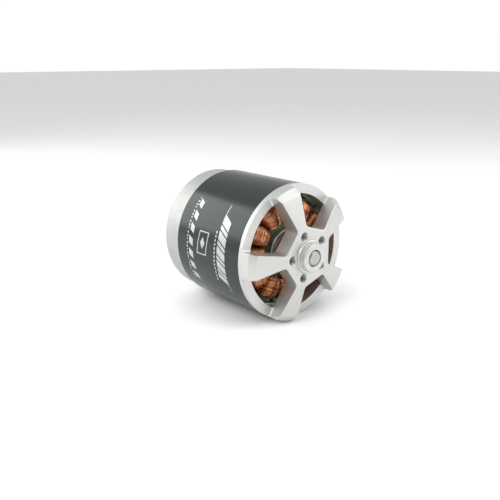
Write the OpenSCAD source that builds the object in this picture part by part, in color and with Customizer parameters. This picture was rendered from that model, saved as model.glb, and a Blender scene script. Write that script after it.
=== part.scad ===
// Brushless outrunner motor, 50 mm class, built as separate pieces.
// The shaft axis is X: the front (propeller side) faces +X and +Z is up.
// The origin is the centre of the rear mounting face.
// Pieces are drawn along their own Z and laid over onto X by on_axis().

/* [Rotor can] */
// Outside diameter of the rotor
motor_d = 50; // [49.6:0.1:50.4]
// Rear edge of the rotor can, measured from the mounting face
can_rear = 10.5; // [10.4:0.1:10.8]
// Front edge of the can, where the bell's rim begins
can_front = 46; // [45.8:0.1:46.2]
// Inside radius of the steel flux ring
flux_r = 23; // [22.9:0.1:23.1]
// Thickness of the printed sleeve around the flux ring
sleeve_t = 0.3; // [0.2:0.05:0.4]

/* [Front bell] */
// Number of spokes, and of cooling windows between them
spokes = 5; // [5:1:5]
// Half the angle that a spoke takes up
spoke_half_angle = 11; // [10:0.5:12]
// Radius of the windows' outer edge
window_r = 21.5; // [21.3:0.1:21.8]
// Distance from the axis to the flat inner edge of a window
window_chord = 10.2; // [10:0.1:10.4]
// Radius of the windows' rounded inner corners
window_round = 1.8; // [1.4:0.1:2.2]
// Thickness of the rim between the spokes
rim_t = 1.75; // [1.5:0.05:2]
// Height of a spoke's outer end above the can
spoke_end_h = 5.1; // [5:0.1:5.6]
// Width of the chamfer along a spoke's outer end
spoke_chamfer = 2; // [1.5:0.1:2.5]
// Height of the hub's front face above the can
hub_h = 9.35; // [9.2:0.05:9.6]
// Circle of the tapped holes in the hub face
hub_pcd = 16; // [15.6:0.1:16.2]
// Tapping drill diameter of the hub's holes
hub_hole_d = 2.5; // [2.4:0.1:2.6]

/* [Shaft] */
// Shaft diameter
shaft_d = 6; // [6:1:6]
// Front end of the shaft
shaft_front = 58.4; // [58.3:0.1:59]
// Rear end of the shaft
shaft_rear = 0.8; // [0.6:0.1:1]

/* [Stator] */
// Outside radius of the stator stack
stack_r = 20.5; // [20.4:0.05:20.6]
// Rear face of the stack
stack_rear = 11.5; // [11.4:0.1:11.6]
// Length of the stack
stack_l = 30; // [29.8:0.1:30.2]
// Number of teeth, each with its own coil
teeth = 12; // [12:1:12]
// Width of a tooth
tooth_w = 3.2; // [3:0.1:3.3]
// How far the coils reach past the stack at each end
coil_overhang = 4.8; // [4:0.1:5]

/* [Magnets] */
// Number of magnets
poles = 14; // [14:1:14]
// Angle that one magnet takes up
magnet_angle = 22; // [20:0.5:24]

/* [Bearings] */
// Outside diameter of each ball bearing
bearing_d = 13; // [13:1:13]
// Width of each ball bearing
bearing_w = 5; // [5:0.5:5]
// Balls in each bearing
balls = 7; // [6:1:8]
// Front end of the bearing tube
tube_front = 44; // [43.9:0.1:44.1]
// Outside radius of the bearing tube
tube_r = 7.65; // [7.5:0.05:7.7]

/* [Rear mount] */
// Outside radius of the rear mount
mount_r = 24.2; // [24:0.1:24.3]
// Thickness of the rear mount's floor
floor_t = 3.5; // [3.3:0.1:3.6]
// Circle of the four mounting holes
mount_pcd = 30; // [29:0.5:31]
// Tapping drill diameter of the mounting holes
mount_hole_d = 3.3; // [3.2:0.1:3.4]
// Number of arms, cooling windows and mounting holes in the floor
arms = 4; // [4:1:4]

/* [Hidden] */
$fn = 96;
eps = 0.01;
motor_r = motor_d / 2;
can_r = motor_r - sleeve_t;
slide_fit = 0.01;
running_gap = 0.5;

// Bell heights along the axis
rim_z = can_front + rim_t;
spoke_end_z = can_front + spoke_end_h;
hub_z = can_front + hub_h;
spigot_z = can_front - 2.8;
plate_hub_z = can_front + 3.4;
plate_rim_z = can_front + 2;
hub_flat_r = 10.5;
spoke_edge_z = spoke_end_z + spoke_chamfer + 0.1;
hub_neck_r = 4.2;
boss_foot_r = 6.2;
boss_foot_h = 0.9;
boss_neck_r = 4.9;
boss_neck_h = 0.35;
boss_r = 5.15;
boss_z = shaft_front - 0.15;
hub_hole_depth = 5;
countersink = 0.45;

// Grub screws through the hub
grub_angles = [90, 162];
grub_r = 1.5;
grub_z = can_front + 6.2;
grub_end = 8.6;

// Shaft, circlip and shims
shaft_r = shaft_d / 2;
shaft_chamfer = 0.7;
groove_z = 1.7;
groove_w = 0.8;
groove_depth = 0.35;
circlip_w = 0.7;
circlip_r = 4.3;
shim_r = 4;

// Bearings: seats, races and balls
bearing_r = bearing_d / 2;
front_seat = tube_front - 0.2 - bearing_w;
rear_seat = 2.9;
inner_race_r = 4.05;
outer_race_r = 5.45;
ball_r = 0.95;
ball_pitch_r = (inner_race_r + outer_race_r) / 2;
groove_r = ball_r + 0.03;
cage_t = 0.5;
cage_h = 2.8;
shield_t = 0.25;
shield_in = 0.3;
race_gap = 0.12;
hub_foot_z = front_seat + bearing_w + 0.3;

// Stator and coils
yoke_r = 10.9;
tooth_tip_r = 19.3;
slot_mouth = 2;
coil_in_r = 10.4;
coil_out_r = 19;
coil_half_w = 3.8;
coil_half_angle = 14.4;
coil_nose_half_w = 1.7;
coil_nose_l = 1.1;
coil_hole_half_w = tooth_w / 2 + 0.05;
coil_corner = 2.6;
coil_gap = 0.08;

// Magnets
magnet_in_r = 21;
magnet_rear = stack_rear + 0.3;
magnet_l = stack_l;
glue_gap = 0.03;

// Rear mount
mount_wall_in = 21.8;
mount_wall_z = can_rear - running_gap;
mount_chamfer_z = 1.5;
mount_face_r = 23.1;
arm_half_angle = 17;
arm_window_r = 20;
arm_window_chord = 10.6;
tube_bore_r = 5.5;
exit_w = 13;
exit_z = 4;
exit_top = 9;
exit_angle = 45;

function numbered(name, i) = str(name, i < 10 ? "_0" : "_", i);
function bearing_z(end) = end == "front" ? front_seat : rear_seat;

// Lays a piece drawn along Z over onto the X axis.
module on_axis() {
    rotate([0, 90, 0]) children();
}

module tube(r_in, r_out, z0, z1) {
    translate([0, 0, z0]) difference() {
        cylinder(r = r_out, h = z1 - z0);
        translate([0, 0, -1]) cylinder(r = r_in, h = z1 - z0 + 2);
    }
}

// A wedge from the axis out to reach, centred on local X.
module wedge(half_angle, reach) {
    polygon([[0, 0],
        [reach * cos(half_angle), -reach * sin(half_angle)],
        [reach * cos(half_angle), reach * sin(half_angle)]]);
}

// A cooling window: straight sides along radii, a flat inner edge with
// rounded corners, and an outer edge left open for the caller to close.
module window_outline(chord, half_angle, corner, reach) {
    x = chord + corner;
    y = (x * sin(half_angle) - corner) / cos(half_angle);
    side_x = x - corner * sin(half_angle);
    side_y = y + corner * cos(half_angle);
    polygon([[chord, -y], [side_x, -side_y],
        [reach * cos(half_angle), -reach * sin(half_angle)],
        [reach * cos(half_angle), reach * sin(half_angle)],
        [side_x, side_y], [chord, y]]);
    translate([x, y]) circle(r = corner);
    translate([x, -y]) circle(r = corner);
}

module closed_window(chord, half_angle, corner, r_out) {
    intersection() {
        window_outline(chord, half_angle, corner, 2 * r_out);
        circle(r = r_out);
    }
}

/* ---- Rotor ---- */

// Bell blank: rim, spigot, conical plate, hub and boss, as one turned shape.
module bell_blank() {
    boss_foot_z = hub_z + boss_foot_h;
    boss_neck_z = boss_foot_z + boss_neck_h;
    rotate_extrude() polygon([
        [shaft_r + slide_fit, hub_foot_z], [hub_neck_r, hub_foot_z],
        [hub_neck_r, plate_hub_z], [hub_flat_r, plate_hub_z],
        [window_r, plate_rim_z], [window_r, spigot_z],
        [flux_r - slide_fit, spigot_z], [flux_r - slide_fit, can_front],
        [motor_r, can_front], [motor_r, spoke_end_z],
        [motor_r - spoke_chamfer, spoke_edge_z], [hub_flat_r, hub_z],
        [boss_foot_r, hub_z], [boss_foot_r, boss_foot_z - 0.25],
        [boss_foot_r - 0.25, boss_foot_z], [boss_neck_r, boss_foot_z],
        [boss_neck_r, boss_neck_z], [boss_r, boss_neck_z],
        [boss_r, boss_z - 0.3], [boss_r - 0.3, boss_z],
        [shaft_r + 0.2, boss_z], [shaft_r + slide_fit, boss_z - 0.2]]);
}

module bell_windows() {
    half = 180 / spokes - spoke_half_angle;
    for (k = [0:spokes - 1]) rotate((k + 0.5) * 360 / spokes - 90)
        translate([0, 0, rim_z]) linear_extrude(20)
            window_outline(window_chord, half, window_round, 2 * motor_r);
}

module hub_holes() {
    for (k = [0:spokes - 1]) rotate(k * 360 / spokes - 90)
        translate([hub_pcd / 2, 0, hub_z]) {
            translate([0, 0, -hub_hole_depth]) cylinder(d = hub_hole_d, h = 10);
            translate([0, 0, -countersink])
                cylinder(r1 = hub_hole_d / 2, r2 = hub_hole_d / 2 + countersink, h = countersink);
            cylinder(r = hub_hole_d / 2 + countersink, h = 1);
        }
}

module front_bell() {
    color("gainsboro") on_axis() difference() {
        bell_blank();
        bell_windows();
        hub_holes();
        for (a = grub_angles) rotate(a) translate([0, 0, grub_z])
            rotate([0, 90, 0]) cylinder(r = grub_r, h = 15);
    }
}

module grub_screws() {
    color("dimgray") on_axis() for (a = grub_angles) rotate(a)
        translate([shaft_r + 0.02, 0, grub_z]) rotate([0, 90, 0]) difference() {
            cylinder(r = grub_r - slide_fit, h = grub_end - shaft_r);
            translate([0, 0, grub_end - shaft_r - 1.6]) cylinder(r = 0.87, h = 3, $fn = 6);
        }
}

module flux_ring() {
    color("darkslategray") on_axis() tube(flux_r, can_r, can_rear, can_front);
}

module label_sleeve() {
    color("dimgray") on_axis() tube(can_r + slide_fit, motor_r, can_rear, can_front - slide_fit);
}

module magnet(i) {
    color("silver") on_axis() rotate((i - 1) * 360 / poles - 90) intersection() {
        tube(magnet_in_r, flux_r - glue_gap, magnet_rear, magnet_rear + magnet_l);
        translate([0, 0, magnet_rear - 1]) linear_extrude(magnet_l + 2)
            wedge(magnet_angle / 2, 2 * motor_r);
    }
}

module shaft() {
    color("lightgray") on_axis() rotate_extrude() polygon([
        [0, shaft_rear], [shaft_r - shaft_chamfer, shaft_rear],
        [shaft_r, shaft_rear + shaft_chamfer],
        [shaft_r, groove_z], [shaft_r - groove_depth, groove_z],
        [shaft_r - groove_depth, groove_z + groove_w], [shaft_r, groove_z + groove_w],
        [shaft_r, shaft_front - shaft_chamfer],
        [shaft_r - shaft_chamfer, shaft_front], [0, shaft_front]]);
}

// A C-clip in the shaft's groove that holds the rotor in the stator.
module circlip() {
    color("dimgray") on_axis() difference() {
        tube(shaft_r - groove_depth + 0.02, circlip_r, groove_z + 0.05, groove_z + 0.05 + circlip_w);
        translate([0, 0, groove_z - 1]) linear_extrude(3) rotate(180) wedge(35, 9);
    }
}

module rear_shim() {
    color("silver") on_axis()
        tube(shaft_r + slide_fit, shim_r, groove_z + groove_w, rear_seat - 0.05);
}

module front_shim() {
    color("silver") on_axis()
        tube(shaft_r + slide_fit, shim_r, front_seat + bearing_w + 0.03, hub_foot_z - 0.03);
}

/* ---- Bearings ---- */

module race_groove(z) {
    translate([0, 0, z]) rotate_extrude()
        translate([ball_pitch_r, 0]) circle(r = groove_r, $fn = 48);
}

module bearing_inner(end) {
    z = bearing_z(end);
    color("lightgray") on_axis() difference() {
        tube(shaft_r + slide_fit, inner_race_r, z, z + bearing_w);
        race_groove(z + bearing_w / 2);
    }
}

module bearing_outer(end) {
    z = bearing_z(end);
    color("lightgray") on_axis() difference() {
        tube(outer_race_r, bearing_r - slide_fit, z, z + bearing_w);
        race_groove(z + bearing_w / 2);
    }
}

// Thin pressed washers that close both sides of a bearing.
module bearing_shields(end) {
    z = bearing_z(end);
    color("dimgray") on_axis() for (side = [shield_in, bearing_w - shield_in - shield_t])
        tube(inner_race_r + race_gap, outer_race_r - slide_fit, z + side, z + side + shield_t);
}

module bearing_balls(end) {
    z = bearing_z(end) + bearing_w / 2;
    color("white") on_axis() for (k = [0:balls - 1]) rotate(k * 360 / balls)
        translate([ball_pitch_r, 0, z]) sphere(r = ball_r, $fn = 32);
}

module bearing_cage(end) {
    z = bearing_z(end) + bearing_w / 2;
    color("goldenrod") on_axis() difference() {
        tube(ball_pitch_r - cage_t / 2, ball_pitch_r + cage_t / 2, z - cage_h / 2, z + cage_h / 2);
        for (k = [0:balls - 1]) rotate(k * 360 / balls)
            translate([ball_pitch_r - 2, 0, z]) rotate([0, 90, 0])
                cylinder(r = ball_r + 0.04, h = 4, $fn = 32);
    }
}

/* ---- Stator ---- */

module mount_blank() {
    rotate_extrude() polygon([
        [tube_bore_r, 0], [mount_face_r, 0], [mount_face_r + 0.5, 0.4],
        [mount_r, mount_chamfer_z], [mount_r, mount_wall_z],
        [mount_wall_in, mount_wall_z], [mount_wall_in, floor_t],
        [tube_r, floor_t], [tube_r, tube_front], [tube_bore_r, tube_front]]);
}

module rear_mount() {
    half = 180 / arms - arm_half_angle;
    color("gainsboro") on_axis() difference() {
        mount_blank();
        translate([0, 0, front_seat]) cylinder(r = bearing_r, h = 20);
        translate([0, 0, -1]) cylinder(r = bearing_r, h = rear_seat + bearing_w + 1);
        for (k = [0:arms - 1]) rotate(k * 360 / arms) {
            rotate(180 / arms) translate([0, 0, -1]) linear_extrude(floor_t + 2)
                closed_window(arm_window_chord, half, window_round, arm_window_r);
            translate([mount_pcd / 2, 0, -1]) cylinder(d = mount_hole_d, h = floor_t + 2);
            translate([mount_pcd / 2, 0, -eps])
                cylinder(r1 = mount_hole_d / 2 + 0.4, r2 = mount_hole_d / 2, h = 0.4);
        }
        // Opening in the wall where the three phase leads come out.
        rotate(exit_angle) translate([arm_window_r - 2, -exit_w / 2, exit_z])
            cube([10, exit_w, exit_top - exit_z]);
    }
}

module lamination() {
    difference() {
        circle(r = stack_r, $fn = 128);
        circle(r = tube_r + 0.02);
        for (k = [0:teeth - 1]) rotate((k + 0.5) * 360 / teeth) difference() {
            intersection() {
                wedge(180 / teeth, 2 * stack_r);
                difference() {
                    circle(r = tooth_tip_r);
                    circle(r = yoke_r);
                }
            }
            for (side = [-1, 1]) rotate(side * 180 / teeth)
                translate([0, -tooth_w / 2]) square([2 * stack_r, tooth_w]);
        }
        for (k = [0:teeth - 1]) rotate((k + 0.5) * 360 / teeth)
            translate([yoke_r + 4, -slot_mouth / 2]) square([stack_r, slot_mouth]);
    }
}

module stator_core() {
    color("darkolivegreen") on_axis() translate([0, 0, stack_rear]) rotate(-90)
        linear_extrude(stack_l) lamination();
}

// A rectangle centred on the origin with round corners.
module round_rectangle(half_x, half_y, corner) {
    square([2 * half_x, 2 * (half_y - corner)], center = true);
    square([2 * (half_x - corner), 2 * half_y], center = true);
    for (sx = [-1, 1], sy = [-1, 1])
        translate([sx * (half_x - corner), sy * (half_y - corner)])
            circle(r = corner, $fn = 32);
}

// The winding seen along the shaft: a wedge that widens outwards to its full width.
module coil_plan() {
    nose_r = coil_in_r + coil_nose_l;
    full_r = coil_half_w / tan(coil_half_angle);
    nose_w = nose_r * tan(coil_half_angle);
    polygon([[coil_in_r, -coil_nose_half_w], [nose_r, -nose_w], [full_r, -coil_half_w],
        [coil_out_r, -coil_half_w], [coil_out_r, coil_half_w], [full_r, coil_half_w],
        [nose_r, nose_w], [coil_in_r, coil_nose_half_w]]);
}

// One coil: a fat closed loop of winding around its tooth. Its ends lean in over the yoke.
module coil(i) {
    half_l = stack_l / 2 + coil_overhang;
    hole_half_l = stack_l / 2 + coil_gap;
    color("peru") on_axis() rotate((i - 1) * 360 / teeth - 90)
        translate([0, 0, stack_rear + stack_l / 2]) difference() {
            intersection() {
                translate([0, 0, -half_l]) linear_extrude(2 * half_l) coil_plan();
                translate([coil_in_r, 0, 0]) rotate([0, 90, 0])
                    linear_extrude(coil_out_r - coil_in_r)
                        round_rectangle(half_l, coil_half_w, coil_corner);
            }
            translate([0, -coil_hole_half_w, -hole_half_l])
                cube([2 * coil_out_r, 2 * coil_hole_half_w, 2 * hole_half_l]);
            translate([0, 0, -hole_half_l]) cylinder(r = yoke_r + coil_gap, h = 2 * hole_half_l);
        }
}

/* ---- Pieces ---- */

front_bell();
flux_ring();
label_sleeve();
for (i = [1:poles]) magnet(i);
shaft();
grub_screws();
circlip();
rear_shim();
front_shim();
rear_mount();
stator_core();
for (i = [1:teeth]) coil(i);
for (end = ["front", "rear"]) {
    bearing_inner(end);
    bearing_outer(end);
    bearing_shields(end);
    bearing_balls(end);
    bearing_cage(end);
}
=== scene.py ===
"""Brushless outrunner motor: the visual model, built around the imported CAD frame.

The shaft axis is X with the propeller side at +X, and +Z is up. Lengths below are in
millimetres and become metres in at(). Angles around the shaft start at -Y, the side
that faces the camera's left, and turn towards -Z.
"""
import math
import random

import bmesh
import bpy
from mathutils import Matrix, Vector


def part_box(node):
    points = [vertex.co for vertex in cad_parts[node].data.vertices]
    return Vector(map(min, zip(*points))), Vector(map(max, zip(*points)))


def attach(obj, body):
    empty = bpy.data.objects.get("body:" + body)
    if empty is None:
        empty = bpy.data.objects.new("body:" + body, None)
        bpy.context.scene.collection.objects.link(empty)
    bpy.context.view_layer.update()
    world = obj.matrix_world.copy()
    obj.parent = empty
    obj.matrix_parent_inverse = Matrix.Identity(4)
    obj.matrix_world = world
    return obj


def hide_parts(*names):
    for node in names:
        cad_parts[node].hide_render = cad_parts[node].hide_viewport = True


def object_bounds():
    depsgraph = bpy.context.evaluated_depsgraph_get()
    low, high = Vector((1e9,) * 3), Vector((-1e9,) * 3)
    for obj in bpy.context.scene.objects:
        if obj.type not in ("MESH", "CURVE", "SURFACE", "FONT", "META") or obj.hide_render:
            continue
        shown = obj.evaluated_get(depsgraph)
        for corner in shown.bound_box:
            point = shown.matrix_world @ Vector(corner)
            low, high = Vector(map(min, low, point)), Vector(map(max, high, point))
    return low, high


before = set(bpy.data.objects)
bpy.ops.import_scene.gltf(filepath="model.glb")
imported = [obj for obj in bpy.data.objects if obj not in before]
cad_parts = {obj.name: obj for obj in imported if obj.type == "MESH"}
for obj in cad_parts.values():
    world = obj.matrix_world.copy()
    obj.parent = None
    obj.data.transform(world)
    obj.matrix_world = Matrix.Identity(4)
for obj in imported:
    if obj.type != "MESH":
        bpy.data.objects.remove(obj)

CAD_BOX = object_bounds()
MM = 0.001
TURN = 2 * math.pi


def edge(node, side, axis):
    """One coordinate of a CAD node's box, in millimetres; side is 0 for low, 1 for high."""
    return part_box(node)[side][axis] / MM


# Driving places, read from the CAD frame
MOTOR_R = edge("label_sleeve", 1, 2)
CAN_REAR = edge("label_sleeve", 0, 0)
CAN_FRONT = edge("flux_ring", 1, 0)
TUBE_FRONT = edge("rear_mount", 1, 0)
MOUNT_R = edge("rear_mount", 1, 2)
COIL_FRONT = edge("coil_01", 1, 0)
COIL_HALF_W = edge("coil_01", 1, 2)
COIL_OUT_R = -edge("coil_01", 0, 1)
COIL_IN_R = -edge("coil_01", 1, 1)
STACK_REAR = edge("stator_core", 0, 0)
STACK_FRONT = edge("stator_core", 1, 0)
TEETH = 12
SPOKES = 5
MOUNT_ARMS = 4
HUB_HOLES_R = 8
MOUNT_HOLES_R = 15
CASTING_SMOOTH = 28  # degrees

# ---------------------------------------------------------------- mesh helpers


def at(x, r, angle):
    """The point at height x along the shaft, radius r and angle in radians."""
    return Vector((x, -r * math.cos(angle), -r * math.sin(angle))) * MM


def sharpen(bm, smooth_angle):
    """Shades every face smooth except across edges sharper than smooth_angle."""
    sharp = math.radians(smooth_angle)
    for face in bm.faces:
        face.smooth = True
    for e in bm.edges:
        e.smooth = not (e.is_manifold and e.calc_face_angle(0.0) > sharp)


def new_object(name, bm, material, smooth_angle=35.0):
    """Makes an object of bm, smooth except along edges sharper than smooth_angle."""
    bmesh.ops.remove_doubles(bm, verts=bm.verts, dist=0.0005 * MM)
    bmesh.ops.recalc_face_normals(bm, faces=bm.faces)
    sharpen(bm, smooth_angle)
    mesh = bpy.data.meshes.new(name)
    bm.to_mesh(mesh)
    bm.free()
    obj = bpy.data.objects.new(name, mesh)
    bpy.context.scene.collection.objects.link(obj)
    if material is not None:
        mesh.materials.append(material)
    return obj


def weighted(obj):
    """Keeps large faces flat where they meet small rounded edges."""
    mod = obj.modifiers.new("flat_faces", "WEIGHTED_NORMAL")
    mod.keep_sharp = True
    mod.weight = 60


def add_lathe(bm, profile, steps=128, centre=None, axis="X"):
    """Adds the closed profile of (x, r) points turned about the shaft, or about a parallel
    or radial axis through centre."""
    rings = []
    for k in range(steps):
        a = TURN * k / steps
        ring = []
        for x, r in profile:
            if axis == "X":
                p = at(x, r, a)
            else:
                p = axis_point(axis, x, r, a)
            ring.append(bm.verts.new(p + centre if centre is not None else p))
        rings.append(ring)
    count = len(profile)
    for k in range(steps):
        here, there = rings[k], rings[(k + 1) % steps]
        for i in range(count):
            j = (i + 1) % count
            if profile[i][1] < 1e-6 and profile[j][1] < 1e-6:
                continue
            bm.faces.new((here[i], here[j], there[j], there[i]))


def axis_point(direction, x, r, a):
    """A point at x along a unit direction square to the shaft, r from that line."""
    u = Vector((1, 0, 0))
    v = direction.cross(u)
    return (direction * x + u * (r * math.cos(a)) + v * (r * math.sin(a))) * MM


def cut(obj, cutter_bm):
    """Subtracts closed cutters from obj and keeps the result as obj's mesh."""
    cutter = new_object("cutter", cutter_bm, None)
    mod = obj.modifiers.new("cut", "BOOLEAN")
    mod.operation = "DIFFERENCE"
    mod.solver = "EXACT"
    mod.object = cutter
    result = bpy.data.meshes.new_from_object(
        obj.evaluated_get(bpy.context.evaluated_depsgraph_get())
    )
    obj.modifiers.remove(mod)
    old = obj.data
    obj.data = result
    bpy.data.meshes.remove(old)
    bpy.data.objects.remove(cutter)


def resharpen(obj, smooth_angle):
    """Does the same on a finished object's mesh, after it has been cut."""
    bm = bmesh.new()
    bm.from_mesh(obj.data)
    sharpen(bm, smooth_angle)
    bm.to_mesh(obj.data)
    bm.free()


def place(obj, body, slot, *nodes):
    """Rides obj on its body and hides the CAD nodes it stands for; slot is not used."""
    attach(obj, body)
    if nodes:
        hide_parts(*nodes)


# ---------------------------------------------------------------- materials


def material(name, base, roughness=0.5, metallic=0.0, **sockets):
    mat = bpy.data.materials.new(name)
    mat.use_nodes = True
    shader = mat.node_tree.nodes["Principled BSDF"]
    shader.inputs["Base Color"].default_value = (*base, 1)
    shader.inputs["Roughness"].default_value = roughness
    shader.inputs["Metallic"].default_value = metallic
    for socket, value in sockets.items():
        shader.inputs[socket.replace("_", " ")].default_value = value
    return mat


def coords(mat):
    nodes = mat.node_tree.nodes
    found = nodes.get("place")
    if found is None:
        found = nodes.new("ShaderNodeTexCoord")
        found.name = "place"
    return found.outputs["Object"]


def noise(mat, scale, detail=3.0, stretch=None):
    """A noise texture's value at scale cells per metre, stretched along an axis if asked."""
    tree = mat.node_tree
    tex = tree.nodes.new("ShaderNodeTexNoise")
    tex.inputs["Scale"].default_value = scale
    tex.inputs["Detail"].default_value = detail
    source = coords(mat)
    if stretch is not None:
        mapping = tree.nodes.new("ShaderNodeMapping")
        mapping.inputs["Scale"].default_value = stretch
        tree.links.new(source, mapping.inputs["Vector"])
        source = mapping.outputs["Vector"]
    tree.links.new(source, tex.inputs["Vector"])
    return tex.outputs["Fac"]


def remap(mat, value, low, high, start=0.3, end=0.7):
    node = mat.node_tree.nodes.new("ShaderNodeMapRange")
    node.inputs["From Min"].default_value = start
    node.inputs["From Max"].default_value = end
    node.inputs["To Min"].default_value = low
    node.inputs["To Max"].default_value = high
    mat.node_tree.links.new(value, node.inputs["Value"])
    return node.outputs["Result"]


def colour_between(mat, factor, dark, light):
    node = mat.node_tree.nodes.new("ShaderNodeMix")
    node.data_type = "RGBA"
    node.inputs[6].default_value = (*dark, 1)
    node.inputs[7].default_value = (*light, 1)
    mat.node_tree.links.new(factor, node.inputs[0])
    return node.outputs[2]


def feed(mat, socket, value):
    mat.node_tree.links.new(value, mat.node_tree.nodes["Principled BSDF"].inputs[socket])


def bump(mat, height, distance, strength=1.0):
    """Adds a bump of that height in metres on top of the bumps already there."""
    tree = mat.node_tree
    node = tree.nodes.new("ShaderNodeBump")
    node.inputs["Distance"].default_value = distance
    node.inputs["Strength"].default_value = strength
    tree.links.new(height, node.inputs["Height"])
    normal = tree.nodes["Principled BSDF"].inputs["Normal"]
    if normal.links:
        tree.links.new(normal.links[0].from_socket, node.inputs["Normal"])
    tree.links.new(node.outputs["Normal"], normal)


def turning_rings(mat, per_metre):
    """The fine rings that a lathe leaves on a face square to the shaft."""
    tree = mat.node_tree
    wave = tree.nodes.new("ShaderNodeTexWave")
    wave.wave_type = "RINGS"
    wave.rings_direction = "X"
    wave.inputs["Scale"].default_value = per_metre
    wave.inputs["Distortion"].default_value = 0.6
    wave.inputs["Detail"].default_value = 1.0
    tree.links.new(coords(mat), wave.inputs["Vector"])
    return wave.outputs["Fac"]


def satin_aluminium(name, light, dark, roughness):
    mat = material(name, light, roughness, 0.85)
    feed(mat, "Base Color", colour_between(mat, remap(mat, noise(mat, 90), 0, 1), dark, light))
    feed(mat, "Roughness", remap(mat, noise(mat, 260), roughness - 0.04, roughness + 0.04))
    bump(mat, turning_rings(mat, 900), 0.000002, 0.5)
    bump(mat, noise(mat, 9000, 2), 0.000004, 0.5)
    return mat


def make_materials():
    m = {}
    m["bell"] = satin_aluminium("bell_aluminium", (0.60, 0.605, 0.585), (0.56, 0.565, 0.545), 0.42)
    m["mount"] = satin_aluminium("mount_aluminium", (0.48, 0.485, 0.47), (0.44, 0.445, 0.43), 0.58)

    mat = m["sleeve"] = material("sleeve_film", (0.018, 0.022, 0.023), 0.25, 0.0,
                                 IOR=1.38, Specular_Tint=(0.9, 1.0, 0.98, 1))
    mix = remap(mat, noise(mat, 35, stretch=(0.3, 1, 1)), 0, 1)
    feed(mat, "Base Color", colour_between(mat, mix, (0.014, 0.020, 0.020), (0.019, 0.026, 0.0265)))
    feed(mat, "Roughness", remap(mat, noise(mat, 400), 0.20, 0.25))
    bump(mat, noise(mat, 5000, 2), 0.000003, 0.4)

    mat = m["ink"] = material("sleeve_ink", (0.46, 0.48, 0.475), 0.36, 0.45)
    feed(mat, "Base Color", colour_between(mat, noise(mat, 900), (0.41, 0.43, 0.425), (0.51, 0.53, 0.525)))
    bump(mat, noise(mat, 4000, 2), 0.000003, 0.4)

    mat = m["mark"] = material("engraved_mark", (0.34, 0.34, 0.335), 0.5, 0.6)
    feed(mat, "Base Color", colour_between(mat, noise(mat, 1500), (0.28, 0.28, 0.275), (0.42, 0.42, 0.415)))

    for key, dark, light in (
        ("copper", (0.54, 0.175, 0.060), (0.80, 0.33, 0.13)),
        ("copper_light", (0.74, 0.30, 0.12), (0.95, 0.52, 0.27)),
        ("copper_dark", (0.36, 0.10, 0.035), (0.56, 0.19, 0.07)),
    ):
        mat = m[key] = material(key, light, 0.3, 0.75)
        feed(mat, "Base Color", colour_between(mat, remap(mat, noise(mat, 420, 2), 0, 1), dark, light))
        feed(mat, "Roughness", remap(mat, noise(mat, 1500), 0.18, 0.34))
        mat.node_tree.nodes["Principled BSDF"].inputs["Coat Weight"].default_value = 0.8
        bump(mat, noise(mat, 3000, 2), 0.00001, 0.5)

    # Darker than the wire: painted shade where the core shows between the turns.
    mat = m["copper_core_painted_shade"] = material("copper_core_painted_shade", (0.40, 0.12, 0.045), 0.45, 0.5)
    feed(mat, "Base Color", colour_between(mat, noise(mat, 900), (0.26, 0.080, 0.032), (0.42, 0.15, 0.06)))
    bump(mat, noise(mat, 2500, 2), 0.00004, 0.6)

    mat = m["epoxy"] = material("stator_coat", (0.06, 0.10, 0.04), 0.42)
    feed(mat, "Base Color", colour_between(mat, noise(mat, 300), (0.085, 0.14, 0.045), (0.16, 0.24, 0.09)))
    feed(mat, "Roughness", remap(mat, noise(mat, 600), 0.28, 0.45))
    bump(mat, noise(mat, 1800, 3), 0.00002, 0.5)

    mat = m["flux"] = material("flux_steel", (0.045, 0.047, 0.05), 0.42, 0.7)
    mix = noise(mat, 200)
    feed(mat, "Base Color", colour_between(mat, mix, (0.035, 0.037, 0.04), (0.06, 0.062, 0.066)))
    bump(mat, noise(mat, 5000, 2), 0.000004, 0.5)

    mat = m["nickel"] = material("magnet_nickel", (0.80, 0.79, 0.76), 0.28, 0.6)
    feed(mat, "Base Color", colour_between(mat, noise(mat, 250), (0.74, 0.73, 0.70), (0.86, 0.85, 0.82)))
    feed(mat, "Roughness", remap(mat, noise(mat, 700), 0.22, 0.36))

    mat = m["shaft"] = material("shaft_steel", (0.44, 0.44, 0.43), 0.3, 1.0)
    feed(mat, "Base Color", colour_between(mat, noise(mat, 700), (0.34, 0.34, 0.33), (0.50, 0.50, 0.49)))
    feed(mat, "Roughness", remap(mat, noise(mat, 1200), 0.25, 0.42))
    bump(mat, turning_rings(mat, 2600), 0.000004, 0.6)

    mat = m["black"] = material("black_screw", (0.03, 0.03, 0.032), 0.4, 0.6)
    feed(mat, "Base Color", colour_between(mat, noise(mat, 900), (0.02, 0.02, 0.022), (0.05, 0.05, 0.052)))
    bump(mat, noise(mat, 4000, 2), 0.000006, 0.5)

    mat = m["polished"] = material("bearing_steel", (0.78, 0.78, 0.77), 0.15, 1.0)
    feed(mat, "Roughness", remap(mat, noise(mat, 900), 0.1, 0.22))
    bump(mat, turning_rings(mat, 3000), 0.000002, 0.5)

    # Darker and browner than the bearing's bare steel: painted shade inside the bearing tube.
    mat = m["bearing"] = material("bearing_ring_painted_shade", (0.46, 0.43, 0.38), 0.3, 1.0)
    feed(mat, "Base Color", colour_between(mat, noise(mat, 700), (0.36, 0.33, 0.28), (0.56, 0.53, 0.48)))
    bump(mat, turning_rings(mat, 3000), 0.000003, 0.5)

    # Dark brown for the tube's end inside its edge: painted shade.
    mat = m["face"] = material("tube_face_painted_shade", (0.30, 0.275, 0.235), 0.4, 0.9)
    feed(mat, "Base Color", colour_between(mat, noise(mat, 700), (0.22, 0.20, 0.17), (0.38, 0.35, 0.30)))
    bump(mat, turning_rings(mat, 2600), 0.000004, 0.5)

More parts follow.
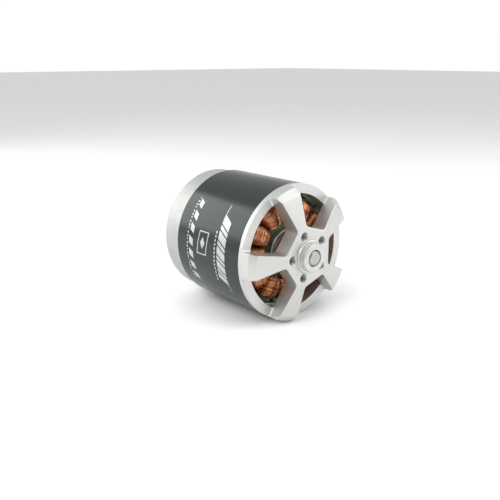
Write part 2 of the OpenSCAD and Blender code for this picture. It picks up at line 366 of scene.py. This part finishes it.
    # Near-white for the tube's outer edge: a painted highlight.
    mat = m["edge"] = material("tube_edge_painted_highlight", (0.88, 0.88, 0.865), 0.3, 0.35)
    feed(mat, "Roughness", remap(mat, noise(mat, 900), 0.24, 0.38))
    bump(mat, turning_rings(mat, 3000), 0.000002, 0.5)

    # Partly the shield's own dark tone, partly painted shade inside the bearing tube.
    mat = m["shield"] = material("shield_steel", (0.26, 0.24, 0.21), 0.35, 1.0)
    feed(mat, "Base Color", colour_between(mat, noise(mat, 900), (0.20, 0.18, 0.155), (0.32, 0.30, 0.265)))
    bump(mat, turning_rings(mat, 2200), 0.000003, 0.5)

    mat = m["shim"] = material("shim_steel", (0.68, 0.68, 0.67), 0.3, 1.0)
    feed(mat, "Roughness", remap(mat, noise(mat, 900), 0.24, 0.38))

    mat = m["brass"] = material("cage_brass", (0.72, 0.52, 0.22), 0.3, 1.0)
    feed(mat, "Base Color", colour_between(mat, noise(mat, 900), (0.62, 0.44, 0.18), (0.78, 0.58, 0.27)))

    # Darker than the aluminium round it: painted shade inside the tapped holes.
    mat = m["bore"] = material("bore_painted_shade", (0.42, 0.42, 0.41), 0.4, 0.8)
    feed(mat, "Base Color", colour_between(mat, noise(mat, 1200), (0.26, 0.26, 0.25), (0.38, 0.38, 0.37)))
    bump(mat, noise(mat, 6000, 2), 0.000006, 0.5)

    mat = m["floor"] = material("floor", (0.93, 0.93, 0.93), 0.6)
    mix = noise(mat, 4)
    feed(mat, "Base Color", colour_between(mat, mix, (0.925, 0.925, 0.925), (0.935, 0.935, 0.935)))
    return m


def paint_cad(m):
    """Gives the CAD nodes that stay in view their materials."""
    finish = {
        "label_sleeve": "sleeve", "flux_ring": "flux", "shaft": "shaft",
        "grub_screws": "black", "circlip": "black", "rear_shim": "shim",
        "front_shim": "shim", "stator_core": "epoxy",
    }
    for end in ("front", "rear"):
        finish[end + "_bearing_inner"] = "polished"
        finish[end + "_bearing_outer"] = "bearing"
        finish[end + "_bearing_balls"] = "polished"
        finish[end + "_bearing_shields"] = "shield"
        finish[end + "_bearing_cage"] = "brass"
    for node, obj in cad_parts.items():
        key = "nickel" if node.startswith("magnet_") else finish.get(node)
        if key is None:
            continue
        obj.data.materials.clear()
        obj.data.materials.append(m[key])


# ---------------------------------------------------------------- spoked castings


def window_edge(chord, half, corner):
    """Points (angle, r) along a window's inner edge, from one side to the other. The
    flat of the edge is chord from the shaft, and both corners are rounded."""
    x = chord + corner
    y = (x * math.sin(half) - corner) / math.cos(half)
    side = []
    arc_steps, flat_steps = 9, 5
    start, end = math.pi / 2 + half, math.pi
    for k in range(arc_steps + 1):
        a = start + (end - start) * k / arc_steps
        side.append((x + corner * math.cos(a), y + corner * math.sin(a)))
    for k in range(1, flat_steps):
        side.append((chord, y * (1 - k / flat_steps)))
    points = [(-math.atan2(py, px), math.hypot(px, py)) for px, py in side]
    points.append((0.0, chord))
    points += [(-a, r) for a, r in reversed(points[:-1])]
    return points


def spoked(spokes, half_spoke, edge_points, hub, ring, over, under):
    """A turned part with windows cut through it, as a closed mesh. All profiles are lists
    of (r, x) points. hub(r) is the middle as far out as r, from its lower to its upper
    outline. ring(side) is the rim at that angle from a window's side, and its last point
    lies on the window's wall. over and under are the rows of a spoke between the two."""
    bm = bmesh.new()
    cache = {}

    def vert(r, x, a):
        key = (round(r, 5), round(x, 5), round(a % TURN, 6))
        if key not in cache:
            cache[key] = bm.verts.new(at(x, r, a))
        return cache[key]

    def strip(loop_a, a, loop_b, b):
        count = len(loop_a)
        for i in range(count):
            j = (i + 1) % count
            corners = [vert(*loop_a[i], a), vert(*loop_a[j], a),
                       vert(*loop_b[j], b), vert(*loop_b[i], b)]
            bm.faces.new(corners)

    root = hub(edge_points[0][1])
    rim = ring(0.0)
    whole = root + over + rim[:-1] + under
    wall = [root[-1]] + over + [rim[0], rim[-1], rim[-2]] + under + [root[0]]
    reach = edge_points[-1][0]
    spoke_steps = 8
    for k in range(spokes):
        middle = TURN * k / spokes
        for i in range(spoke_steps):
            a = middle + half_spoke * (2 * i / spoke_steps - 1)
            b = middle + half_spoke * (2 * (i + 1) / spoke_steps - 1)
            strip(whole, a, whole, b)
        for side in (-1, 1):
            bm.faces.new([vert(*p, middle + side * half_spoke) for p in wall])
        centre = middle + math.pi / spokes
        for (a, ra), (b, rb) in zip(edge_points, edge_points[1:]):
            strip(hub(ra), centre + a, hub(rb), centre + b)
            strip(ring(reach - abs(a)), centre + a, ring(reach - abs(b)), centre + b)
    bmesh.ops.recalc_face_normals(bm, faces=bm.faces)
    return bm


def round_edges(bm, keep, offset, segments=2):
    """Rounds the convex edges for which keep(r, x, r, x) is true."""
    chosen = []
    for e in bm.edges:
        if len(e.link_faces) != 2 or e.calc_face_angle_signed(0.0) < math.radians(25):
            continue
        ends = []
        for v in e.verts:
            ends += [math.hypot(v.co.y, v.co.z) / MM, v.co.x / MM]
        if keep(*ends):
            chosen.append(e)
    bmesh.ops.bevel(bm, geom=chosen, offset=offset * MM, offset_type="OFFSET",
                    segments=segments, profile=0.5, affect="EDGES", clamp_overlap=False)


def thread_cutter(bm, centre, r_in, r_out, pitch, top, depth, chamfer):
    """A cutter for a tapped hole along the shaft's direction, from x top down to depth,
    with ridges and a countersunk mouth. The sign of depth is the way in."""
    way = math.copysign(1.0, depth)
    profile = [(top + way * abs(depth), 0.0), (top + way * abs(depth), r_in)]
    turns = int((abs(depth) - 1.2 * pitch) / pitch)
    for k in range(turns, 0, -1):
        x = top + way * (k * pitch + 0.3 * pitch)
        profile.append((x, r_in))
        profile.append((x - way * pitch / 2, r_out))
    profile.append((top + way * (chamfer + 0.1), r_out))
    profile.append((top + way * chamfer, r_out))
    profile.append((top, r_out + chamfer))
    profile.append((top - way * 0.5, r_out + chamfer))
    profile.append((top - way * 0.5, 0.0))
    add_lathe(bm, profile, steps=28, centre=centre)


def front_bell(m):
    half = math.radians(11)
    window_r, rim_x, flat_r = 21.5, CAN_FRONT + 1.75, 10.5
    hub_x, hub_under = CAN_FRONT + 9.35, CAN_FRONT + 3.4
    end_x, edge_r, edge_x = CAN_FRONT + 5.1, MOTOR_R - 2, CAN_FRONT + 7.2
    fillet = 0.9
    bore_r, neck_r, neck_x = 3.01, 4.2, CAN_FRONT - 1.9
    # The boss from its bore to its foot, as (radius, height above the hub's face): the
    # pilot with rounded edges, a groove behind it, and the wider base
    boss_outline = [
        (bore_r, 2.7), (3.2, 2.9), (4.5, 2.9), (4.85, 2.79), (5.08, 2.53), (5.15, 2.15),
        (5.15, 1.6), (4.88, 1.4), (4.84, 1.1), (5.0, 0.9), (5.85, 0.87), (6.08, 0.77),
        (6.18, 0.55), (6.2, 0.15), (6.3, 0.03), (6.6, 0.0),
    ]

    def over(r):
        if r > edge_r:
            return edge_x + (r - edge_r) * (end_x - edge_x) / (MOTOR_R - edge_r)
        return hub_x - max(0.0, r - flat_r) * (hub_x - edge_x) / (edge_r - flat_r)

    def under(r):
        rim_under = CAN_FRONT + 2.0
        return hub_under - max(0.0, r - flat_r) * (hub_under - rim_under) / (window_r - flat_r)

    def hub(r):
        near = min(flat_r, r - 0.2)
        low = [(r, under(r)), (near, under(near)), (4.6, hub_under), (neck_r, hub_under - 0.3),
               (neck_r, neck_x), (bore_r, neck_x)]
        boss = [(boss_r, hub_x + height) for boss_r, height in boss_outline]
        high = [(0.5 * (boss[-1][0] + near), hub_x), (near, over(near)), (r, over(r))]
        return low + boss + high

    def ring(side):
        gap = side * (MOTOR_R + window_r) / 2
        rise = fillet - math.sqrt(fillet ** 2 - max(0.0, fillet - gap) ** 2)
        top = rim_x + rise
        return [(MOTOR_R, top), (MOTOR_R, CAN_FRONT), (22.99, CAN_FRONT),
                (22.99, CAN_FRONT - 2.8), (window_r, CAN_FRONT - 2.8),
                (window_r, min(under(window_r), top - 0.02)), (window_r, top)]

    top_rows = [(r, over(r)) for r in (14.5, 17.0, 19.5, 21.5, edge_r, MOTOR_R)]
    low_rows = [(r, under(r)) for r in (19.5, 17.0, 14.5)]
    edge_points = window_edge(10.2, math.pi / SPOKES - half, 1.8)
    bm = spoked(SPOKES, half, edge_points, hub, ring, top_rows, low_rows)

    def keep(ra, xa, rb, xb):
        top_edge = abs(xa - over(ra)) < 0.02 and abs(xb - over(rb)) < 0.02
        outside = min(ra, rb) > MOTOR_R - 0.02 and min(xa, xb) > rim_x - 0.02
        return min(ra, rb) > 9 and (top_edge or outside)

    round_edges(bm, keep, 0.2)
    bell = new_object("front_bell_casting", bm, m["bell"], CASTING_SMOOTH)
    bell.data.materials.append(m["bore"])
    cutters = bmesh.new()
    axes = [at(0, HUB_HOLES_R, TURN * k / SPOKES) for k in range(SPOKES)]
    for axis in axes:
        thread_cutter(cutters, axis, 1.24, 1.47, 0.5, hub_x, -5.0, 0.28)
    cut(bell, cutters)
    cutters = bmesh.new()
    for a in (math.pi, math.radians(252)):
        way = at(0, 1, a).normalized()
        centre = Vector(((CAN_FRONT + 6.2) * MM, 0, 0))
        add_lathe(cutters, [(1.5, 0.0), (1.5, 1.5), (14.0, 1.5), (14.0, 0.0)], 32, centre, way)
    cut(bell, cutters)
    # The faces down in the tapped holes take the darker colour: painted shade.
    paint_bore_shade(bell, axes, 1.6, lambda x: 50 < x < hub_x - 0.29)
    resharpen(bell, CASTING_SMOOTH)
    weighted(bell)
    place(bell, "rotor", "bell_aluminium", "front_bell")


def paint_bore_shade(obj, axes, reach, deep):
    """Gives the faces inside the tapped holes the second material, whose darker colour is painted shade
    down in the holes.
    """
    for face in obj.data.polygons:
        c = face.center
        near = any((Vector((0, c.y, c.z)) - axis).length < reach * MM for axis in axes)
        if near and deep(c.x / MM):
            face.material_index = 1


def rear_mount(m):
    half = math.radians(17)
    floor, wall_x, face_r, window_r = 3.5, CAN_REAR - 0.5, 23.1, 20.0

    def hub(r):
        near = r - 0.4
        bore = [(6.9, 0.0), (6.5, 0.4), (6.5, 7.9), (5.5, 7.9), (5.5, TUBE_FRONT - 5.2),
                (6.5, TUBE_FRONT - 5.2), (6.5, TUBE_FRONT - 0.35), (6.62, TUBE_FRONT - 0.25),
                (7.2, TUBE_FRONT - 0.25), (7.26, TUBE_FRONT), (7.5, TUBE_FRONT), (7.65, TUBE_FRONT - 0.2),
                (7.65, floor + 0.5), (7.8, floor + 0.15), (8.15, floor)]
        return [(r, 0.0), (near, 0.0)] + bore + [(near, floor), (r, floor)]

    def ring(_):
        return [(window_r, floor), (21.4, floor), (21.8, floor + 0.4), (21.8, wall_x - 0.15),
                (21.95, wall_x), (MOUNT_R - 0.3, wall_x), (MOUNT_R - 0.09, wall_x - 0.09),
                (MOUNT_R, wall_x - 0.3), (MOUNT_R, 1.75), (MOUNT_R - 0.06, 1.4),
                (MOUNT_R - 0.52, 0.5), (face_r + 0.4, 0.22), (face_r + 0.1, 0.04),
                (face_r - 0.2, 0.0), (window_r, 0.0), (window_r, floor / 2)]

    rows = [13.5, 15.0, 16.5, 18.2]
    edge_points = window_edge(10.6, math.pi / MOUNT_ARMS - half, 1.8)
    bm = spoked(MOUNT_ARMS, half, edge_points, hub, ring,
                [(r, floor) for r in rows], [(r, 0.0) for r in reversed(rows)])

    def keep(ra, xa, rb, xb):
        rear = max(xa, xb) < 0.02
        front = min(xa, xb) > floor - 0.02 and max(xa, xb) < floor + 0.02
        return min(ra, rb) > 9.5 and max(ra, rb) < window_r + 0.05 and (rear or front)

    round_edges(bm, keep, 0.25)
    mount = new_object("rear_mount_casting", bm, m["mount"], CASTING_SMOOTH)
    for key in ("bore", "edge", "face"):
        mount.data.materials.append(m[key])
    cutters = bmesh.new()
    axes = [at(0, MOUNT_HOLES_R, TURN * k / MOUNT_ARMS) for k in range(MOUNT_ARMS)]
    for axis in axes:
        thread_cutter(cutters, axis, 1.65, 1.95, 0.7, 0.0, 5.0, 0.3)
    cut(mount, cutters)
    cutters = bmesh.new()
    lead_exit(cutters)
    cut(mount, cutters)
    # The faces down in the tapped holes take the darker colour: painted shade.
    paint_bore_shade(mount, axes, 2.1, lambda x: 0.31 < x < floor - 0.02)
    for face in mount.data.polygons:
        r = math.hypot(face.center.y, face.center.z) / MM
        if face.center.x / MM > TUBE_FRONT - 0.3:
            # The tube's end: a bright outer edge, its colour a painted highlight, and a darker face inside
            # it, its colour painted shade
            face.material_index = 2 if r > 7.2 else 3
    resharpen(mount, CASTING_SMOOTH)
    weighted(mount)
    place(mount, "stator", "mount_aluminium", "rear_mount")


def lead_exit(bm):
    """The rounded slot in the mount's wall where the phase leads come out."""
    middle = math.radians(135)
    half_w, low, high, corner = 6.5, 4.0, 9.0, 1.6
    outline = []
    for cx, cz, start in ((high - corner, half_w - corner, 0), (low + corner, half_w - corner, 90),
                          (low + corner, -half_w + corner, 180), (high - corner, -half_w + corner, 270)):
        for k in range(7):
            a = math.radians(start + 15 * k)
            outline.append((cx + corner * math.cos(a), cz + corner * math.sin(a)))
    out = at(0, 1, middle).normalized()
    across = out.cross(Vector((1, 0, 0)))
    rings = []
    for r in (18.5, 28.0):
        rings.append([bm.verts.new((Vector((x, 0, 0)) + across * t + out * r) * MM) for x, t in outline])
    count = len(outline)
    for i in range(count):
        j = (i + 1) % count
        bm.faces.new((rings[0][i], rings[0][j], rings[1][j], rings[1][i]))
    bm.faces.new(rings[0])
    bm.faces.new(list(reversed(rings[1])))


# ---------------------------------------------------------------- coils

WIRE_R = 0.25
COIL_HALF_ANGLE = math.radians(14.4)


def bend(value, power):
    return math.copysign(abs(value) ** power, value)


def coil_frame(index):
    """The function that places (x, across, r) of one tooth's coil in the scene."""
    angle = TURN * index / TEETH
    out = at(0, 1, angle).normalized()
    across = out.cross(Vector((1, 0, 0)))

    def point(x, t, r):
        return (Vector((x, 0, 0)) + across * t + out * r) * MM

    return point


def coil_loop(u, inset, skew=0.0, lift=0.0, arc=11, straight=2):
    """One turn of the winding as (x, across, r) points. u runs from -1 on the shaft side
    to 1 on the outside, inset is the depth below the coil's surface, and skew moves the
    turn outwards on one side of the tooth and inwards on the other."""
    slot_low, slot_high = 11.35 + inset, COIL_OUT_R - 0.1 - inset
    end_low, end_high = COIL_IN_R + inset, COIL_OUT_R - inset
    slot_r = (slot_low + slot_high) / 2 + u * (slot_high - slot_low) / 2
    end_r = (end_low + end_high) / 2 + u * (end_high - end_low) / 2
    crown = (1 - abs(u) ** 2.6) ** (1 / 2.6)
    rise = (COIL_FRONT - STACK_FRONT - inset - 1.5) * crown + 1.5 + lift
    half_w = min(COIL_HALF_W, slot_r * math.tan(COIL_HALF_ANGLE)) - inset
    points = []
    for face, sign in ((STACK_FRONT, 1), (STACK_REAR, -1)):
        for k in range(arc + 1):
            a = math.pi * k / arc
            if sign < 0:
                a = math.pi - a
            lean = math.sin(a)
            r = slot_r + (end_r - slot_r) * lean + skew * sign * math.cos(a)
            r = max(end_low, min(end_high, r))
            width = min(half_w, r * math.tan(COIL_HALF_ANGLE) - inset)
            x = face + sign * rise * bend(math.sin(a), 0.78)
            points.append((x, width * bend(math.cos(a), 0.78), r))
        last = points[-1]
        other = STACK_REAR if sign > 0 else STACK_FRONT
        for k in range(1, straight + 1):
            f = k / (straight + 1)
            points.append((face + (other - face) * f, last[1], last[2]))
    return points


def add_ring_tube(bm, points, radius, slot, sides=6):
    """A closed tube along a closed loop of points, in the given material slot."""
    rings = []
    count = len(points)
    for i, p in enumerate(points):
        along = (points[(i + 1) % count] - points[i - 1]).normalized()
        guide = along.cross(at(0, 1, 0) if abs(along.y) < 0.7 else Vector((0, 0, 1))).normalized()
        rings.append((p, along, guide))
    loops = []
    guide = rings[0][2]
    for p, along, _ in rings:
        guide = (guide - along * guide.dot(along)).normalized()
        other = along.cross(guide)
        loops.append([
            bm.verts.new(p + (guide * math.cos(TURN * k / sides)
                              + other * math.sin(TURN * k / sides)) * radius)
            for k in range(sides)
        ])
    # The last ring may have turned against the first; start it at the nearest corner
    first, final = loops[0], loops[-1]
    shift = min(range(sides), key=lambda n: (first[n].co - final[0].co).length)
    for i in range(count):
        here, there = loops[i], loops[(i + 1) % count]
        # The closing step takes up that shift
        turn = shift if i == count - 1 else 0
        for k in range(sides):
            corners = (here[k], here[(k + 1) % sides],
                       there[(k + 1 + turn) % sides], there[(k + turn) % sides])
            face = bm.faces.new(corners)
            face.material_index = slot
            face.smooth = True


def winding(m, index, rng):
    """One coil: turns of wire side by side around the tooth, with a few that cross over
    them, over a solid core."""
    point = coil_frame(index)
    bm = bmesh.new()
    turns = 22
    for k in range(turns):
        u = math.sin(math.pi / 2 * (2 * (k + 0.5) / turns - 1) * 0.94)
        u = max(-1.0, min(1.0, u + rng.uniform(-0.02, 0.02)))
        loop = coil_loop(u, WIRE_R + rng.uniform(0.0, 0.1), rng.uniform(-0.1, 0.35))
        add_ring_tube(bm, [point(*p) for p in loop], WIRE_R * MM, rng.choice((0, 0, 1, 2)))
    for k in range(4):
        u = rng.uniform(-0.7, 0.75)
        skew = rng.choice((-1, 1)) * rng.uniform(0.7, 1.6)
        loop = coil_loop(u, WIRE_R, skew, rng.uniform(-0.05, 0.12))
        add_ring_tube(bm, [point(*p) for p in loop], WIRE_R * MM, rng.choice((0, 1)))
    add_core(bm, point)
    name = f"winding_{index + 1:02d}"
    mesh = bpy.data.meshes.new(name)
    bm.to_mesh(mesh)
    bm.free()
    for key in ("copper", "copper_light", "copper_dark", "copper_core_painted_shade"):
        mesh.materials.append(m[key])
    obj = bpy.data.objects.new(name, mesh)
    bpy.context.scene.collection.objects.link(obj)
    place(obj, "stator", "copper_wire", f"coil_{index + 1:02d}")


def add_core(bm, point):
    """The solid body of a coil under its outer turns, with the tooth's hole through it. Its dark colour is
    painted shade in the gaps between the turns.
    """
    rows = [-1.0, -0.94, -0.8, -0.5, 0.0, 0.5, 0.8, 0.94, 1.0]
    hole_w, hole_front, hole_rear = 1.66, STACK_FRONT + 0.09, STACK_REAR - 0.09
    rings = []
    for u in rows:
        loop = coil_loop(u, 1.7 * WIRE_R)
        outer = [bm.verts.new(point(*p)) for p in loop]
        inner = []
        for x, t, r in loop:
            hx = max(hole_rear, min(hole_front, x))
            inner.append(bm.verts.new(point(hx, max(-hole_w, min(hole_w, 3 * t)), r)))
        rings.append((outer, inner))
    faces = []
    count = len(rings[0][0])
    for (oa, ia), (ob, ib) in zip(rings, rings[1:]):
        for i in range(count):
            j = (i + 1) % count
            faces.append(bm.faces.new((oa[i], oa[j], ob[j], ob[i])))
            faces.append(bm.faces.new((ia[i], ib[i], ib[j], ia[j])))
    for outer, inner in (rings[0], rings[-1]):
        for i in range(count):
            j = (i + 1) % count
            faces.append(bm.faces.new((outer[i], inner[i], inner[j], outer[j])))
    for face in faces:
        face.material_index = 3
        face.smooth = True
    bmesh.ops.recalc_face_normals(bm, faces=faces)


# ---------------------------------------------------------------- sleeve print


def add_patch(bm, corners, height, base_r=MOTOR_R):
    """A thin closed patch on a cylinder. corners are (x, angle in degrees), in order."""
    (x0, a0), (x1, a1), (x2, a2), (x3, a3) = corners
    along = max(1, math.ceil(max(abs(a3 - a0), abs(a2 - a1)) / 1.2))
    across = max(1, math.ceil(max(abs(a1 - a0), abs(a2 - a3)) / 1.2))
    levels = []
    for r in (base_r - 0.02, base_r + height):
        grid = []
        for k in range(along + 1):
            f = k / along
            row = []
            for n in range(across + 1):
                g = n / across
                x = (x0 * (1 - f) + x3 * f) * (1 - g) + (x1 * (1 - f) + x2 * f) * g
                a = (a0 * (1 - f) + a3 * f) * (1 - g) + (a1 * (1 - f) + a2 * f) * g
                row.append(bm.verts.new(at(x, r, math.radians(a))))
            grid.append(row)
        levels.append(grid)
    low, high = levels
    for grid in levels:
        for p, q in zip(grid, grid[1:]):
            for n in range(across):
                bm.faces.new((p[n], p[n + 1], q[n + 1], q[n]))
    outline = [(0, n) for n in range(across)] + [(k, across) for k in range(along)]
    outline += [(along, n) for n in range(across, 0, -1)] + [(k, 0) for k in range(along, 0, -1)]
    for (k, n), (i, j) in zip(outline, outline[1:] + outline[:1]):
        bm.faces.new((low[k][n], low[i][j], high[i][j], high[k][n]))


def add_bar(bm, x, a, width, turn, height, lean=0.0, base_r=MOTOR_R):
    """A printed bar from x and angle a, width along the shaft and turn degrees around it.
    lean is how many degrees its far side is turned on."""
    far = a + lean
    corners = [(x, a), (x + width, far), (x + width, far + turn), (x, a + turn)]
    add_patch(bm, corners, height, base_r)


def sleeve_print(m):
    """Plain printed marks in silver ink: slanted strokes, rows of dashes and a framed box."""
    bm = bmesh.new()
    ink = 0.012
    # Slanted strokes near the front, wide and narrow in turn, with a hairline at each end
    low, width, lean, gap = 34.2, 4.4, 6.0, 1.3
    a, turn = -36.0, 7.8
    add_bar(bm, low, a - 9, 0.28, 9.6, ink)
    for k in range(9):
        step = turn if k % 2 == 0 else 0.45 * turn
        add_bar(bm, low, a, width, step, ink, lean)
        a += step + gap
        turn *= 0.95
    add_bar(bm, low + width - 0.28, a + lean - gap - 0.5, 0.28, 8.0, ink)
    # A row of short dashes beside them
    for k in range(13):
        add_bar(bm, 32.5, -21 + k * 3.4, 0.6, 2.0, ink)
    # Blocks near the rear edge, with a line of fine dashes
    for k in range(7):
        add_bar(bm, 17.7, -44 + k * 11.0, 2.3, 6.2, ink, 3.0)
    for k in range(25):
        add_bar(bm, 16.4, -45 + k * 3.1, 0.55, 1.0 + 0.9 * (k % 3 > 0), ink)
    # A framed box with a plain diamond in it
    low, high, top, base, slant, line = 23.4, 28.9, -17.5, 2.5, 0.9, 0.4
    turn = math.degrees(line / MOTOR_R)
    frame_lines = (
        [(low, top), (low + line, top), (low + line - slant, base), (low - slant, base)],
        [(high - line, top), (high, top), (high - slant, base), (high - line - slant, base)],
        [(low + line, top), (high - line, top), (high - line, top + turn), (low + line, top + turn)],
        [(low + line - slant, base - turn), (high - line - slant, base - turn),
         (high - line - slant, base), (low + line - slant, base)],
    )
    for corners in frame_lines:
        add_patch(bm, corners, ink)
    middle, centre = (low + high - slant) / 2, (top + base) / 2
    half_w, half_turn = 1.3, 5
    diamond = [(middle, centre - half_turn), (middle + half_w, centre),
               (middle, centre + half_turn), (middle - half_w, centre)]
    add_patch(bm, diamond, ink)
    obj = new_object("sleeve_print", bm, m["ink"], 40)
    place(obj, "rotor", "sleeve_film")


def mount_scale(m):
    """A faint row of index marks round the rear mount."""
    bm = bmesh.new()
    for k in range(15):
        length = 2.6 if k % 4 == 0 else 1.4
        add_bar(bm, 4.6, -46 + k * 4.5, length, 0.75, 0.01, base_r=MOUNT_R)
    obj = new_object("mount_index_marks", bm, m["mark"], 40)
    place(obj, "stator", "mount_aluminium")


def painted_gap_shade(m):
    """A dark ring of painted shade in the gap between the shaft's end and the boss."""
    bm = bmesh.new()
    back, front, shaft_edge, chamfer, bore = 57.72, 58.04, 2.985, 0.32, 3.005
    outline = [(back, shaft_edge), (front, shaft_edge - chamfer), (front, bore), (back, bore)]
    add_lathe(bm, outline, 96)
    obj = new_object("painted_gap_shade", bm, m["black"], 30)
    place(obj, "rotor", "black_screw")


# ---------------------------------------------------------------- studio


def softbox(name, where, towards, size, radiance, along=(0, 0, 1)):
    """A rectangular light that faces towards a point, its height following along."""
    data = bpy.data.lights.new(name, "AREA")
    data.shape = "RECTANGLE"
    data.size, data.size_y = size
    data.energy = radiance * math.pi * size[0] * size[1]
    back = (Vector(where) - Vector(towards)).normalized()
    up = Vector(along)
    up = (up - back * up.dot(back)).normalized()
    obj = bpy.data.objects.new(name, data)
    obj.location = where
    obj.rotation_euler = Matrix((up.cross(back), up, back)).transposed().to_euler()
    bpy.context.scene.collection.objects.link(obj)


def fade(tree, value, start, end, low, high):
    """A value that goes from low to high while the given one goes from start to end."""
    node = tree.nodes.new("ShaderNodeMapRange")
    node.inputs["From Min"].default_value = start
    node.inputs["From Max"].default_value = end
    node.inputs["To Min"].default_value = low
    node.inputs["To Max"].default_value = high
    tree.links.new(value, node.inputs["Value"])
    return node.outputs["Result"]


def studio(m):
    scene = bpy.context.scene
    scene.view_settings.view_transform = "Standard"
    world = bpy.data.worlds.new("studio")
    scene.world = world
    world.use_nodes = True
    tree = world.node_tree
    background = tree.nodes["Background"]
    background.inputs["Color"].default_value = (1, 1, 1, 1)
    sky = tree.nodes.new("ShaderNodeTexCoord")
    split = tree.nodes.new("ShaderNodeSeparateXYZ")
    tree.links.new(sky.outputs["Generated"], split.inputs["Vector"])
    # White behind the motor, dimmer overhead and in front of it
    level = tree.nodes.new("ShaderNodeMath")
    level.operation = "MULTIPLY"
    tree.links.new(fade(tree, split.outputs["Z"], 0.09, 0.22, 1.02, 0.68), level.inputs[0])
    tree.links.new(fade(tree, split.outputs["X"], -0.3, 0.5, 1.0, 0.5), level.inputs[1])
    tree.links.new(level.outputs["Value"], background.inputs["Strength"])

    bm = bmesh.new()
    half = 4.0
    low = CAD_BOX[0][2]
    outline = ((-half, -half), (half, -half), (half, half), (-half, half))
    bm.faces.new([bm.verts.new((x, y, low)) for x, y in outline])
    floor = new_object("floor", bm, m["floor"])

    middle = (0.03, 0, 0)
    softbox("left_softbox", (-0.37, -0.20, 0.19), middle, (0.33, 0.34), 3.2, (0, 0.69, 0.72))
    softbox("top_softbox", (0.22, 0.12, 0.42), middle, (0.5, 0.4), 1.2, (1, 0, 0))
    softbox("key_softbox", (0.13, -0.46, 0.38), middle, (0.36, 0.3), 4.6)
    softbox("side_softbox", (0.42, 0.36, 0.20), middle, (0.45, 0.2), 4.0)
    sun = bpy.data.lights.new("fill", "SUN")
    sun.energy = 0.5
    sun.angle = math.radians(90)
    fill = bpy.data.objects.new("fill", sun)
    scene.collection.objects.link(fill)

    camera = bpy.data.cameras.new("camera")
    camera.lens = 45.75
    camera.sensor_width = 36
    obj = bpy.data.objects.new("camera", camera)
    obj.location = Vector((203.12, -156.54, 67.47)) * MM
    azimuth, elevation = 48.92, 16.88
    obj.rotation_euler = (math.radians(90 - elevation), 0, math.radians(azimuth))
    scene.collection.objects.link(obj)
    scene.camera = obj


# ---------------------------------------------------------------- build

materials = make_materials()
studio(materials)
paint_cad(materials)
front_bell(materials)
rear_mount(materials)
rng = random.Random(41)
for number in range(TEETH):
    winding(materials, number, rng)
sleeve_print(materials)
mount_scale(materials)
painted_gap_shade(materials)
